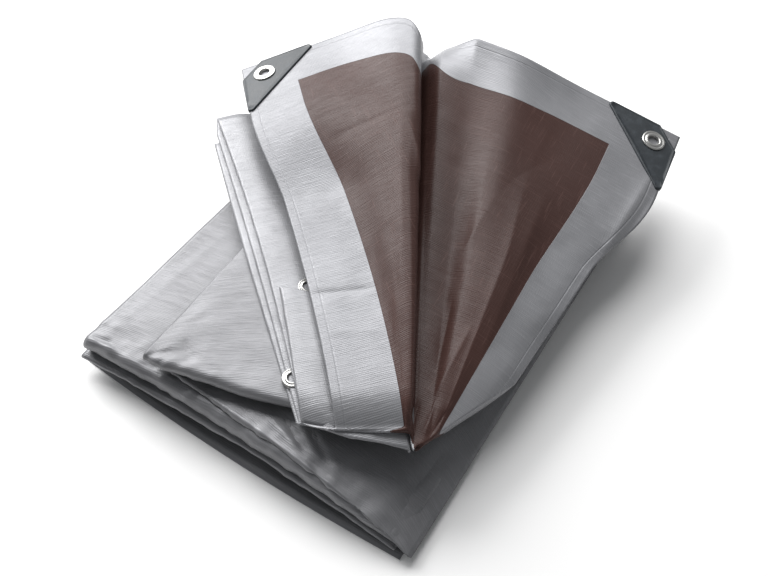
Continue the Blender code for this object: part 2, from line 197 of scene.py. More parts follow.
# Creases pressed into the cloth: a straight line on the plan, how high the crease stands
# (below 0 for a trough) and how wide its flanks are
Crease = namedtuple("Crease", "name x0 y0 x1 y1 height width")
TOP_CREASES = [
    Crease("left hem, across", 0.025, -0.123, 0.064, -0.093, -0.0016, 0.0022),
    Crease("left hem, below that", 0.059, -0.147, 0.096, -0.123, 0.0005, 0.004),
    Crease("right hem, along", 0.209, 0.179, 0.207, -0.022, 0.0022, 0.006),
    Crease("right hem, outer", 0.220, 0.164, 0.215, 0.023, -0.0012, 0.004),
    Crease("right lobe, long", 0.141, 0.073, 0.172, -0.107, 0.0022, 0.009),
    Crease("right lobe, short", 0.123, -0.059, 0.144, -0.118, -0.0014, 0.003),
    Crease("right lobe, fold near the tip", 0.150, -0.076, 0.158, -0.151, 0.0018, 0.004),
    Crease("tip, first", 0.148, -0.154, 0.159, -0.188, -0.0022, 0.0022),
    Crease("tip, second", 0.160, -0.147, 0.167, -0.178, 0.0022, 0.0024),
    Crease("tip, third", 0.171, -0.150, 0.171, -0.179, -0.0016, 0.002),
    Crease("left lobe, brow", -0.030, 0.108, 0.105, -0.112, 0.0012, 0.006),
    Crease("left lobe, across", -0.057, 0.023, -0.004, 0.078, -0.0008, 0.004),
]
PACKET_CREASES = [
    Crease("tier corner, first", -0.063, -0.236, -0.038, -0.216, -0.0018, 0.0026),
    Crease("tier corner, second", -0.063, -0.235, -0.037, -0.236, 0.0022, 0.0018),
    Crease("tier corner, third", -0.064, -0.235, -0.045, -0.234, -0.0022, 0.0015),
    Crease("tier, soft dent", -0.047, -0.209, -0.026, -0.222, -0.002, 0.0045),
    Crease("tier, near its roll", -0.024, -0.208, 0.000, -0.216, 0.0012, 0.004),
    Crease("tier, long", -0.070, -0.174, 0.043, -0.188, 0.001, 0.008),
    Crease("ridge, first", 0.050, -0.222, 0.086, -0.233, 0.0026, 0.003),
    Crease("ridge, second", 0.060, -0.214, 0.094, -0.232, -0.0026, 0.0034),
    Crease("ridge, third", 0.070, -0.212, 0.105, -0.231, 0.003, 0.0034),
    Crease("ridge, fourth", 0.080, -0.210, 0.114, -0.228, -0.0024, 0.0034),
    Crease("ridge, fifth", 0.090, -0.211, 0.122, -0.229, 0.0018, 0.003),
    Crease("ridge, long", -0.042, -0.234, 0.132, -0.243, 0.0022, 0.004),
    Crease("right of the tip, long", 0.172, -0.175, 0.161, -0.249, 0.0012, 0.006),
    Crease("right of the tip, second", 0.180, -0.153, 0.180, -0.243, -0.0012, 0.005),
    Crease("main ply, along its crest", -0.119, -0.238, -0.105, -0.072, 0.0008, 0.006),
    Crease("main ply, corner", -0.128, -0.244, -0.096, -0.240, 0.0018, 0.0018),
    Crease("main ply, corner dent", -0.127, -0.240, -0.108, -0.236, -0.0014, 0.002),
]
UNDER_CREASES = [
    Crease("strips, small fold", -0.067, -0.093, -0.049, -0.078, -0.0018, 0.0018),
    Crease("strips, lower", 0.002, -0.164, 0.017, -0.149, -0.0014, 0.0018),
    Crease("flap, along", 0.016, -0.130, 0.081, -0.203, 0.0006, 0.005),
]


# ---------------------------------------------------------------- settings


def length_property(name, description, default):
    return FloatProperty(name=name, description=description, default=default, unit="LENGTH", precision=5)


class TarpSizes(bpy.types.PropertyGroup):
    """Sizes of the cloth, its fittings and its surface."""

    cloth: length_property("Cloth", "Thickness of the coated sheet", 0.0009)
    hem: length_property("Hem", "Width of the welded hem", 0.053)
    rib: length_property("Rib pitch", "Distance between the weave's ribs", 0.0016)
    wrinkle: length_property("Wrinkles", "Height of the soft unevenness", 0.0012)
    sleeve_leg: length_property("Sleeve leg", "Length of a sleeve along the cloth's edge", 0.077)
    sleeve_chamfer: length_property("Sleeve cut", "How far the sleeve's outer corner is cut back", 0.023)
    sleeve_half: length_property("Sleeve half height", "Half the height of a sleeve over the cloth", 0.0021)
    eyelet_inset: length_property("Eyelet inset", "From each edge of the cloth to the eyelet", 0.0235)
    corner_flange: length_property("Corner eyelet flange", "Radius of the flange", 0.0118)
    corner_bore: length_property("Corner eyelet bore", "Radius of the hole", 0.0056)
    hem_flange: length_property("Hem eyelet flange", "Radius of the flange", 0.0090)
    hem_bore: length_property("Hem eyelet bore", "Radius of the hole", 0.0044)


def colour_property(name, description, default):
    return FloatVectorProperty(
        name=name, description=description, default=default, subtype="COLOR", size=3, min=0.0, max=1.0
    )


class TarpColours(bpy.types.PropertyGroup):
    """Colours of the two faces, the fittings and the floor."""

    silver: colour_property("Silver face", "The sheet's silver side and hems", (0.285, 0.286, 0.300))
    brown: colour_property("Brown face", "The sheet's brown side", (0.062, 0.030, 0.025))
    sleeve: colour_property("Sleeve", "Moulded corner sleeves", (0.018, 0.023, 0.028))
    eyelet: colour_property("Eyelet", "Plated eyelets", (0.50, 0.495, 0.48))
    floor: colour_property("Floor", "The pale floor", (0.93, 0.925, 0.92))


# ---------------------------------------------------------------- shader maths


class Socket:
    """An output of a node, on which Python's operators add Math nodes."""

    def __init__(self, tree, output):
        self.tree = tree
        self.output = output

    def math(self, operation, *others):
        return self.tree.add("ShaderNodeMath", {"operation": operation}, dict(enumerate((self,) + others)))

    def __add__(self, other):
        return self.math("ADD", other)

    __radd__ = __add__

    def __sub__(self, other):
        return self.math("SUBTRACT", other)

    def __rsub__(self, other):
        return self.tree.add("ShaderNodeMath", {"operation": "SUBTRACT"}, {0: other, 1: self})

    def __mul__(self, other):
        return self.math("MULTIPLY", other)

    __rmul__ = __mul__

    def step(self, low, high):
        """0 below low and 1 above high, eased between them."""
        settings = {"interpolation_type": "SMOOTHSTEP"}
        return self.tree.add("ShaderNodeMapRange", settings, {0: self, 1: low, 2: high, 3: 0.0, 4: 1.0})

    def line(self, middle, half):
        """1 on the line where this value is middle, falling to 0 half away on each side."""
        return 1 - (self - middle).math("ABSOLUTE").step(0.0, half)


class Finish:
    """A material with its Principled BSDF, and the one method that adds every other node."""

    def __init__(self, name):
        self.material = bpy.data.materials.new(name)
        self.material.use_nodes = True
        self.nodes = self.material.node_tree.nodes
        self.links = self.material.node_tree.links
        self.shader = self.nodes["Principled BSDF"]

    def add(self, kind, settings=None, sockets=None, output=0):
        """A node of the kind, with its settings made first and its sockets set or linked."""
        node = self.nodes.new(kind)
        for name, value in (settings or {}).items():
            if name == "stops":
                while len(node.color_ramp.elements) < len(value):
                    node.color_ramp.elements.new(0.5)
                for element, (place, colour) in zip(node.color_ramp.elements, value):
                    element.position = place
                    element.color = (*colour, 1)
            else:
                setattr(node, name, value)
        for name, value in (sockets or {}).items():
            self.join(node.inputs[name], value)
        return Socket(self, node.outputs[output])

    def join(self, socket, value):
        if isinstance(value, Socket):
            self.links.new(value.output, socket)
        else:
            socket.default_value = value

    def set(self, **values):
        """The shader's own sockets, named with underscores for spaces."""
        for name, value in values.items():
            self.join(self.shader.inputs[name.replace("_", " ")], value)

    def mix(self, share, first, second, blend="MIX"):
        """Two colours mixed by the share."""
        sockets = {"Factor": share, "A": first, "B": second}
        node = self.nodes.new("ShaderNodeMix")
        node.data_type = "RGBA"
        node.blend_type = blend
        places = {"Factor": node.inputs[0], "A": node.inputs[6], "B": node.inputs[7]}
        for name, value in sockets.items():
            self.join(places[name], value)
        return Socket(self, node.outputs[2])

    def noise(self, vector, scale, detail=3.0, roughness=0.55):
        sockets = {"Vector": vector, "Scale": scale, "Detail": detail, "Roughness": roughness}
        return self.add("ShaderNodeTexNoise", None, sockets)

    def stretched(self, vector, x, y, z=1.0, turn=0.0):
        """The vector scaled along its own axes, so that a pattern on it runs in streaks."""
        sockets = {"Vector": vector, "Scale": (x, y, z), "Rotation": (0, 0, turn)}
        return self.add("ShaderNodeMapping", None, sockets)

    def bump(self, height, distance, strength=1.0, normal=None):
        sockets = {"Height": height, "Distance": distance, "Strength": strength}
        if normal is not None:
            sockets["Normal"] = normal
        return self.add("ShaderNodeBump", None, sockets)


def rgba(colour):
    return (*colour, 1.0)


def woven(finish, uv, rib):
    """The weave's height from 0 to 1: ribs along each way of the tapes, broken up by streaks
    as long as a hand is wide, and the streaks by themselves."""
    parts = finish.add("ShaderNodeSeparateXYZ", None, {0: uv})
    along = finish.add("ShaderNodeSeparateXYZ", None, {0: uv}, 1)
    turn = 2 * np.pi / rib
    across_streak = finish.noise(finish.stretched(uv, 45, 950), 1.0, 4.0)
    along_streak = finish.noise(finish.stretched(uv, 900, 60), 1.0, 3.0)
    wander = finish.noise(uv, 90.0, 2.0)
    across_rib = (along * turn + wander * 2.5).math("SINE") * 0.5 + 0.5
    along_rib = (parts * turn + wander * 2.5).math("SINE") * 0.5 + 0.5
    height = across_rib * across_streak * 0.35 + along_rib * along_streak * 0.15 + across_streak * 0.75
    return height, across_streak, along_streak


def make_silver(name, sizes, colours, two_tone=False, tone=1.0):
    """The coated sheet: silver, or on the top ply's upper face brown between silver hems. The
    hems are told by three attributes, the distances past each hem seam. A tone below 1 darkens
    the silver for the packet: painted shade on the same cloth as the fan."""
    finish = Finish(name)
    uv = finish.add("ShaderNodeUVMap", {"uv_map": "cloth"})
    place = finish.add("ShaderNodeTexCoord", None, None, 3)
    height, across_streak, along_streak = woven(finish, uv, sizes.rib)
    cloud = finish.noise(place, 9.0, 4.0)
    scuff = finish.noise(finish.stretched(uv, 25, 260, turn=0.5), 1.0, 5.0)
    # On the packet the silver is darkened by the tone: painted shade
    silver = [tone * c for c in colours.silver]
    darker = [0.72 * c for c in silver]
    brighter = [min(1.0, 1.22 * c) for c in silver]
    colour = finish.mix(cloud.step(0.3, 0.7), rgba(darker), rgba(silver))
    colour = finish.mix(across_streak.step(0.45, 0.75) * 0.5, colour, rgba(brighter))
    rough = 0.38 + across_streak * 0.16 + scuff.step(0.5, 0.8) * 0.10
    metal = SILVER_METALLIC
    if two_tone:
        seams = [finish.add("ShaderNodeAttribute", {"attribute_name": f"past_{side}"}, None, 2)
                 for side in ("left", "right", "back")]
        past = seams[0].math("MAXIMUM", seams[1]).math("MAXIMUM", seams[2])
        hem = past.step(-0.0002, 0.0002)
        scratch_a = finish.noise(finish.stretched(uv, 30, 700, turn=0.35), 1.0, 4.0).step(0.56, 0.72)
        scratch_b = finish.noise(finish.stretched(uv, 700, 30, turn=0.15), 1.0, 4.0).step(0.56, 0.72)
        darker = rgba([0.82 * c for c in colours.brown])
        brown = finish.mix(cloud.step(0.3, 0.75), darker, rgba(colours.brown))
        scratches = scratch_a.math("MAXIMUM", scratch_b) * 0.35
        brown = finish.mix(scratches, brown, rgba([min(1.0, 1.9 * c + 0.02) for c in colours.brown]))
        colour = finish.mix(hem, brown, colour)
        metal = hem * SILVER_METALLIC
        rough = rough - (1 - hem) * 0.04
        weld = past.line(WELD_PLACE, WELD_HALF)
        height = height * 0.0004 + hem * 0.0005 - weld * 0.0003
        normal = finish.bump(height, 1.0, 0.8)
    else:
        normal = finish.bump(height, 0.0004, 0.8)
    finish.set(Base_Color=colour, Roughness=rough, Metallic=metal, Normal=normal)
    finish.set(Coat_Weight=0.02 if two_tone else 0.08, Coat_Roughness=0.30, IOR=1.5)
    finish.set(Specular_IOR_Level=0.22 if two_tone else 0.5)
    return finish.material


def make_plastic(name, colour):
    """Moulded plastic with a fine grain and soft scuffs."""
    finish = Finish(name)
    place = finish.add("ShaderNodeTexCoord", None, None, 3)
    grain = finish.noise(place, 1400.0, 2.0)
    scuff = finish.noise(place, 120.0, 5.0)
    tone = finish.mix(scuff.step(0.45, 0.8) * 0.6, rgba(colour), rgba([2.2 * c + 0.01 for c in colour]))
    normal = finish.bump(grain, 0.00018, 0.7)
    finish.set(Base_Color=tone, Roughness=0.38 + scuff * 0.22, Normal=normal)
    return finish.material


def make_metal(name, colour):
    """Plated steel, a little dulled and rubbed."""
    finish = Finish(name)
    place = finish.add("ShaderNodeTexCoord", None, None, 3)
    rub = finish.noise(place, 700.0, 4.0)
    dull = finish.noise(place, 160.0, 3.0)
    tone = finish.mix(dull.step(0.4, 0.75) * 0.35, rgba(colour), rgba([0.7 * c for c in colour]))
    normal = finish.bump(rub, 0.00008, 0.6)
    finish.set(Base_Color=tone, Metallic=0.85, Roughness=0.22 + rub * 0.16, Normal=normal)
    return finish.material


def make_floor_finish(name, colour):
    """Plain pale floor with the faintest unevenness."""
    finish = Finish(name)
    place = finish.add("ShaderNodeTexCoord", None, None, 3)
    tone = finish.mix(finish.noise(place, 3.0) * 0.2, rgba(colour), rgba([0.98 * c for c in colour]))
    finish.set(Base_Color=tone, Roughness=0.85)
    return finish.material


# ---------------------------------------------------------------- shapes


def ease(low, high, value):
    """0 below low, 1 above high, and a smooth step between: 3 s squared less 2 s cubed."""
    share = np.clip((value - low) / (high - low), 0.0, 1.0)
    return share * share * (3.0 - 2.0 * share)


def column(rows, name):
    return np.array([getattr(row, name) for row in rows])


def curve(places, values, at):
    """A smooth curve through the values that never swings past them: cubic pieces whose
    slope at each place is the harmonic mean of the slopes on its two sides."""
    width = np.diff(places)
    slope = np.diff(values) / width
    same = slope[:-1] * slope[1:] > 0
    total = np.where(same, slope[:-1] + slope[1:], 1.0)
    mean = np.where(same, 2 * slope[:-1] * slope[1:] / total, 0.0)
    tangent = np.concatenate([slope[:1], mean, slope[-1:]])
    at = np.asarray(at, float)
    piece = np.clip(np.searchsorted(places, at) - 1, 0, len(width) - 1)
    t = (at - places[piece]) / width[piece]
    inside = np.clip(t, 0.0, 1.0)
    start, end = values[piece], values[piece + 1]
    first, last = tangent[piece] * width[piece], tangent[piece + 1] * width[piece]
    cubic = start + (end - start) * inside * inside * (3 - 2 * inside)
    cubic = cubic + first * inside * (1 - inside) ** 2 - last * inside**2 * (1 - inside)
    return cubic + (t - inside) * np.where(t < 0, first, last)


def hills(u, v, cell, seed):
    """Soft hills from -1 to 1: random heights on a square lattice of cells, eased between the
    four nearest lattice points."""
    heights = np.random.default_rng(seed).uniform(-1, 1, (64, 64))
    u, v = np.asarray(u) / cell, np.asarray(v) / cell
    i, j = np.floor(u).astype(int), np.floor(v).astype(int)
    a, b = ease(0, 1, u - i), ease(0, 1, v - j)
    near, far = heights[i % 64, j % 64], heights[(i + 1) % 64, j % 64]
    near_next, far_next = heights[i % 64, (j + 1) % 64], heights[(i + 1) % 64, (j + 1) % 64]
    return (near * (1 - a) + far * a) * (1 - b) + (near_next * (1 - a) + far_next * a) * b


def ridges(u, v, cell, seed):
    """Sharp small folds from 0 to 1: one less the size of soft hills, squared."""
    return (1 - np.abs(hills(u, v, cell, seed))) ** 2


def crease_height(creases, x, y):
    """The creases' height at plan points: each is its height times e to the less distance
    from its line over its width, and it fades out towards its two ends."""
    total = np.zeros(np.shape(x))
    for crease in creases:
        start = np.array([crease.x0, crease.y0])
        run = np.array([crease.x1, crease.y1]) - start
        length = np.linalg.norm(run)
        run = run / length
        along = (x - start[0]) * run[0] + (y - start[1]) * run[1]
        off = (x - start[0]) * run[1] - (y - start[1]) * run[0]
        off = np.sqrt(off**2 + (0.25 * crease.width) ** 2)
        fade = ease(-0.15, 0.25, along / length) * (1 - ease(0.75, 1.15, along / length))
        total = total + crease.height * np.exp(-off / crease.width) * fade
    return total


def normals(points):
    """The unit normal at each grid point: the cross product of the two grid directions."""
    down, over = np.gradient(points, axis=0), np.gradient(points, axis=1)
    normal = np.cross(over, down)
    return normal / np.maximum(np.linalg.norm(normal, axis=-1, keepdims=True), 1e-12)


def raised(points, amount):
    """The grid's points moved along its normals by the amount."""
    return points + normals(points) * amount[..., None]


def fan_line(name, across):
    return curve(column(FAN, "across"), column(FAN, name), across)


def fan_plan(across, along):
    """Points on the fan's lines: each runs straight from its front to its back, but for
    its bow to the right, fullest a third of the way back, its sag, fullest at its middle,
    and its droop at the top edge, which grows with the square of the way from its start."""
    front = np.stack([fan_line(f"front_{axis}", across) for axis in "xyz"], -1)
    back = np.stack([fan_line(f"back_{axis}", across) for axis in "xyz"], -1)
    inside = np.clip(along, 0, 1)
    bow = 5.2 * inside * (1 - inside) ** 1.5 * fan_line("bow", across)
    droop_across = np.clip(across, DROOPS[0].across, DROOPS[-1].across)
    places = column(DROOPS, "across")
    droop = np.stack([curve(places, column(DROOPS, axis), droop_across) for axis in "xyz"], -1)
    share = np.clip((along - DROOP_START) / (1 - DROOP_START), 0, 1)[..., None]
    sag_across = np.clip(across, SAGS[0].across, SAGS[-1].across)
    sag = 4 * inside * (1 - inside) * curve(column(SAGS, "across"), column(SAGS, "depth"), sag_across)
    points = front + (back - front) * along[..., None] + bow[..., None] * BOW_WAY
    return points + droop * share**2 + sag[..., None] * SAG_WAY


def corner_frame(corner):
    """The flat corner's place and its two unit edges in space, along the top and the side."""
    top, side = np.radians(corner.top_deg), np.radians(corner.side_deg)
    along = np.array([np.cos(top), np.sin(top), corner.top_rise])
    down = np.array([np.cos(side), np.sin(side), corner.side_rise])
    along /= np.linalg.norm(along)
    down -= along * (down @ along)
    down /= np.linalg.norm(down)
    return np.array([corner.x, corner.y, corner.z]), along, down


def rolled(points, across, along, share_left):
    """The front end of a ply rolled down: it drops with the square of the way into the roll,
    by the share that the ply keeps, and not at all in the right lobe."""
    into = 1 - np.clip(along / ROLL_SHARE, 0, 1)
    drop = ROLL_DROP * into**2 * share_left * (1 - ease(0.36, 0.42, across))
    return points - np.stack([0 * drop, 0 * drop, drop], -1)


def top_surface(across, along):
    """The top ply: the fan's straight lines, easing into a flat plane at each free corner.
    Returns the points and how much of the flat planes is in each."""
    points = fan_plan(across, along)
    flatness = np.zeros(across.shape)
    for corner in FLAT_CORNERS:
        place, top, side = corner_frame(corner)
        across_length = np.abs(across - corner.across) * corner.top_span
        along_length = (1 - along) * corner.side_span
        flat = place + across_length[..., None] * top + along_length[..., None] * side
        weight = 1 - ease(FLAT_REACH, FLAT_REACH + FLAT_FADE, np.maximum(across_length, along_length))
        points = points + (flat - points) * weight[..., None]
        flatness = np.maximum(flatness, weight)
    return rolled(points, across, along, 1.0), flatness


def packet_top(x, fall=PACKET_FALL):
    """Level on the left, then a curve that steepens down to the right rim."""
    start, end = fall
    share = np.clip((x - start) / (end - start), 0.0, 1.0)
    return PACKET_TOP - (PACKET_TOP - PACKET_RIM) * share**2


def even_grid(rows, columns):
    """Row shares and column shares from 0 to 1, each as a grid."""
    return np.meshgrid(np.linspace(0, 1, rows), np.linspace(0, 1, columns), indexing="ij")


def packet_ply(ply, columns, half_cloth):
    """A ply of the packet from front to back: its height is its share of the packet's."""
    share, across = even_grid(ply.rows, columns)
    share = share**FRONT_CROWDING
    first, last = PACKET[0].left_x, PACKET[0].right_x
    x = first + (last - first) * across
    x = x + (ply.left_x - first) * np.clip(1 - across / END_SHARES[0], 0, 1)
    x = x + (ply.right_x - last) * np.clip(1 - (1 - across) / END_SHARES[1], 0, 1)
    run = (x - ply.left_x) / (ply.right_x - ply.left_x)
    middle = ply.front_middle - (ply.front_left + ply.front_right) / 2
    front = ply.front_left + (ply.front_right - ply.front_left) * run + 4 * run * (1 - run) * middle
    back = ply.back_left + (ply.back_right - ply.back_left) * run
    z = half_cloth + (packet_top(x) - half_cloth) * ply.level
    return np.stack([x, front + (back - front) * share, z], -1)


def tier_ply(over, rows, columns):
    """A ply of the second tier from front to back, ruled between its two folds."""
    share, across = even_grid(rows, columns)
    names = ("x", "y", "fold")
    near = [curve(column(TIER_FRONT, "share"), column(TIER_FRONT, name), across) for name in names]
    far = [curve(column(TIER_BACK, "share"), column(TIER_BACK, name), across) for name in names]
    x, y, fold = [n + (f - n) * share for n, f in zip(near, far)]
    return np.stack([x, y, packet_top(x) + TIER_RISE + fold * over], -1)


def sunk(points, ply, across, along):
    """The fan's points sunk from the top ply towards the bed by the ply's share, which grows
    where the top ply covers them."""
    rest = fan_line("front_rest", across) * (1 - along) + fan_line("back_rest", across) * along
    bed = packet_top(points[..., 0], BED_FALL) + rest
    sink = ply.sink + (ply.sink_under - ply.sink) * ease(-0.06, 0.03, across)
    z = points[..., 2] + (bed - points[..., 2]) * sink
    return rolled(np.stack([points[..., 0], points[..., 1], z], -1), across, along, 1 - sink)


def fan_ply(ply, columns):
    """An under ply of the fan from front to back: the fan's plan, sunk towards the bed."""
    row, share = even_grid(ply.rows, columns)
    bow = ply.left_middle - (ply.left_front + ply.left_back) / 2
    left = ply.left_front + (ply.left_back - ply.left_front) * row + 4 * row * (1 - row) * bow
    across = left + (ply.right - left) * share
    reach = ply.reach * ease(-0.05, 0.11, across) * (1 - ease(0.28, 0.40, across))
    reach = (reach - ply.back_off * ease(0.28, 0.42, across)) / FAN_LENGTH
    along = (ply.back_left + (ply.back_right - ply.back_left) * share) * row - reach * (1 - row)
    return sunk(fan_plan(across, along), ply, across, along)


def turn(before, after, steps, least=TURN_BULGE[0]):
    """The rows of a fold: half an ellipse from the last row of one ply to the first row of
    the next, bulging the way that the two plies run."""
    end, start = before[-1], after[0]
    way = (end - before[-2]) + (start - after[1])
    way[:, 2] = 0
    way /= np.linalg.norm(way, axis=1, keepdims=True)
    bulge = np.clip(np.abs(start - end)[:, 2:] / 2, least, max(least, TURN_BULGE[1]))
    angle = np.linspace(-np.pi / 2, np.pi / 2, steps + 2)[1:-1, None, None]
    middle, half = (start + end) / 2, (start - end) / 2
    return middle + half * np.sin(angle) + way * bulge * np.cos(angle)


def joined(plies, steps):
    """The plies one after the other, with a fold between each and the next."""
    parts = [plies[0]]
    for before, after in zip(plies, plies[1:]):
        parts += [turn(before, after, steps), after]
    return np.concatenate(parts)


def cloth_uv(points):
    """Flat places on the cloth, in metres: the length along each row from the left edge, and
    the length along each column from the first row."""
    over = np.linalg.norm(np.diff(points, axis=1), axis=-1)
    over = np.concatenate([np.zeros((len(points), 1)), np.cumsum(over, axis=1)], axis=1)
    down = np.linalg.norm(np.diff(points, axis=0), axis=-1)
    down = np.concatenate([np.zeros((1, points.shape[1])), np.cumsum(down, axis=0)])
    return np.stack([over, down], -1)


def lobe_uv(points, run):
    """Flat places on a lobe of the fan, in metres: across and along its hem's direction, with
    the height added to the first so that steep flanks keep their weave's size."""
    run = np.array(run) / np.linalg.norm(run)
    across = points[..., 0] * run[1] - points[..., 1] * run[0]
    along = points[..., 0] * run[0] + points[..., 1] * run[1]
    return np.stack([across + 0.5 * points[..., 2], along], -1)


def link(name, mesh, finishes, nodes):
    """The piece as an object at the origin, riding on the one body and standing for its nodes."""
    piece = bpy.data.objects.new(name, mesh)
    bpy.context.scene.collection.objects.link(piece)
    for finish in finishes:
        mesh.materials.append(finish)
    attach(piece, "root")
    if nodes:
        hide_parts(*nodes)
    return piece


def grid_faces(rows, columns, wrap_rows=False, wrap_columns=False):
    """Quads of a grid of points, joined round where a direction wraps."""
    i = np.arange(rows if wrap_rows else rows - 1)[:, None]
    j = np.arange(columns if wrap_columns else columns - 1)[None, :]
    down, over = (i + 1) % rows, (j + 1) % columns
    corners = [i * columns + j, i * columns + over, down * columns + over, down * columns + j]
    return np.stack([np.broadcast_to(c, (i.size, j.size)) for c in corners], -1).reshape(-1, 4)


def surface_mesh(name, points, wrap_rows=False, wrap_columns=False):
    """A smooth mesh on a grid of points, its faces in the grid's own order."""
    faces = grid_faces(*points.shape[:2], wrap_rows, wrap_columns)
    mesh = bpy.data.meshes.new(name)
    mesh.from_pydata(points.reshape(-1, 3), [], faces)
    mesh.shade_smooth()
    return mesh, faces


def make_cloth(name, points, sizes, finishes, uv_of_face):
    """A cloth piece: a grid surface with its flat places as a UV map, given its thickness."""
    mesh, faces = surface_mesh(name, points)
    layer = mesh.uv_layers.new(name="cloth")
    layer.data.foreach_set("uv", uv_of_face(faces).astype(np.float32).ravel())
    piece = link(name, mesh, finishes, ["tarp_sheet"])
    solid = piece.modifiers.new("thickness", "SOLIDIFY")
    solid.thickness = sizes.cloth
    solid.offset = 0
    solid.material_offset = len(finishes) - 1
    return piece


def shared_finish(name, make, *values):
    return bpy.data.materials.get(name) or make(name, *values)


# ---------------------------------------------------------------- operators


class TARP_OT_packet(bpy.types.Operator):
    """The packet and its second tier, plies laid back and forth from the table up"""

    bl_idname = "folded_tarp.packet"
    bl_label = "Packet"

    def execute(self, context):
        sizes, colours = context.scene.tarp_sizes, context.scene.tarp_colours
        columns = 100
        plies = [packet_ply(ply, columns, sizes.cloth / 2) for ply in PACKET]
        plies += [tier_ply(0, 40, columns), tier_ply(1, 110, columns)]
        plies = [ply if index % 2 == 0 else ply[::-1] for index, ply in enumerate(plies)]
        points = joined(plies, 7)
        uv = cloth_uv(points)
        u, v = uv[..., 0], uv[..., 1]
        soft = hills(u, v, 0.045, 1) + 0.5 * hills(u, v, 0.018, 2)
        free = ease(0.0015, 0.02, points[..., 2])
        top_only = ease(0.55, 0.85, points[..., 2] / (packet_top(points[..., 0]) + 0.004))
        near_fold = np.exp(-np.abs(points[..., 1] + 0.240) / 0.020)
        folds = ridges(u, v, 0.017, 3) - 0.3 + 0.6 * hills(u, v, 0.007, 4)
        amount = (soft * 0.6 + folds * 1.1 * near_fold) * sizes.wrinkle * free
        amount += crease_height(PACKET_CREASES, points[..., 0], points[..., 1]) * top_only
        points = raised(points, amount)
        points[..., 2] = np.maximum(points[..., 2], sizes.cloth / 2)
        # The packet's copy of the silver, darkened by the packet's tone: painted shade
        silver = shared_finish("tarp_packet_cloth", make_silver, sizes, colours, False, PACKET_SHADE_TONE)
        make_cloth("packet_cloth", points, sizes, [silver], lambda faces: uv.reshape(-1, 2)[faces])
        return {"FINISHED"}


class TARP_OT_under_plies(bpy.types.Operator):
    """The plies between the packet and the top ply, with the flap at the left"""

    bl_idname = "folded_tarp.under_plies"
    bl_label = "Under plies"

    def execute(self, context):
        sizes, colours = context.scene.tarp_sizes, context.scene.tarp_colours
        columns = 110
        plies = [fan_ply(ply, columns) for ply in FAN_PLIES]
        plies = [ply[::-1] if index % 2 == 0 else ply for index, ply in enumerate(plies)]
        lead = tier_ply(1, 110, columns)
        points = np.concatenate([turn(lead, plies[0], 7), joined(plies, 7)])
        uv = lobe_uv(points, LEFT_RUN)
        u, v = uv[..., 0], uv[..., 1]
        soft = hills(u, v, 0.040, 5) + 0.5 * hills(u, v, 0.016, 6)
        front = np.exp(-((points[..., 0] - 0.13) ** 2 + (points[..., 1] + 0.20) ** 2) / 0.035**2)
        folds = ridges(u, v, 0.012, 7) - 0.3
        amount = soft * sizes.wrinkle * 0.35 + folds * 0.0016 * front
        amount += crease_height(UNDER_CREASES, points[..., 0], points[..., 1])
        points = raised(points, amount)
        silver = shared_finish("tarp_silver_cloth", make_silver, sizes, colours)
        make_cloth("under_plies_cloth", points, sizes, [silver], lambda faces: uv.reshape(-1, 2)[faces])
        return {"FINISHED"}


class TARP_OT_top_ply(bpy.types.Operator):
    """The top ply, fanned out in two lobes, brown between its silver hems"""

    bl_idname = "folded_tarp.top_ply"
    bl_label = "Top ply"

    def execute(self, context):
        sizes, colours = context.scene.tarp_sizes, context.scene.tarp_colours
        columns = 220
        row, across = even_grid(TOP_PLY.rows, columns)
        points, flatness = top_surface(across, row)
        under = fan_ply(FAN_PLIES[-1], columns)[::-1]
        fold = turn(under, points, 7, 0.0035)
        points = np.concatenate([fold, points])
        flatness = np.concatenate([np.zeros(fold.shape[:2]), flatness])
        blend = (1 + np.sin(np.linspace(-np.pi / 2, np.pi / 2, 9)[1:-1, None])) / 2
        flap = FAN_PLIES[-1]
        under_across = np.linspace(flap.left_front, flap.right, columns)
        across = np.concatenate([under_across + (across[:1] - under_across) * blend, across])
        uv_left, uv_right = lobe_uv(points, LEFT_RUN), lobe_uv(points, RIGHT_RUN)
        u, v = np.moveaxis(cloth_uv(points), -1, 0)
        from_back = v[-1:] - v
        past = {
            "left": curve(np.array([0, LEFT_SEAM, 1]), np.array([1.0, 0.0, -8.0]), across) * sizes.hem,
            "right": curve(np.array([0, RIGHT_SEAM, 1]), np.array([-6.7, 0.0, 1.0]), across) * sizes.hem,
            "back": sizes.hem - from_back,
        }
        soft = hills(u, v, 0.050, 8) + 0.4 * hills(u, v, 0.018, 9)
        amount = soft * sizes.wrinkle * 0.5 * (1 - flatness)
        amount += crease_height(TOP_CREASES, points[..., 0], points[..., 1])
        points = raised(points, amount)
        silver = shared_finish("tarp_silver_cloth", make_silver, sizes, colours)
        two_tone = shared_finish("tarp_two_tone_cloth", make_silver, sizes, colours, True)
        valley_column = int(VALLEY * (columns - 1))

        def uv_of_face(faces):
            right = (faces[:, 0] % columns >= valley_column)[:, None, None]
            return np.where(right, uv_right.reshape(-1, 2)[faces], uv_left.reshape(-1, 2)[faces])

        piece = make_cloth("top_ply_cloth", points, sizes, [two_tone, silver], uv_of_face)
        for side, distance in past.items():
            attribute = piece.data.attributes.new(f"past_{side}", "FLOAT", "POINT")
            values = np.broadcast_to(distance, across.shape).astype(np.float32)
            attribute.data.foreach_set("value", values.ravel())
        return {"FINISHED"}


def place_matrix(centre, first, second):
    """A matrix with its X along the first direction and its Z up out of the cloth."""
    normal = np.cross(first, second)
    normal *= np.sign(normal[2]) / np.linalg.norm(normal)
    first = first / np.linalg.norm(first)
    return np.stack([first, np.cross(normal, first), normal, centre])


def placed(points, place):
    """Local points put in space: x, y and z times the place's three axes, plus its centre."""
    return points @ place[:3] + place[3]


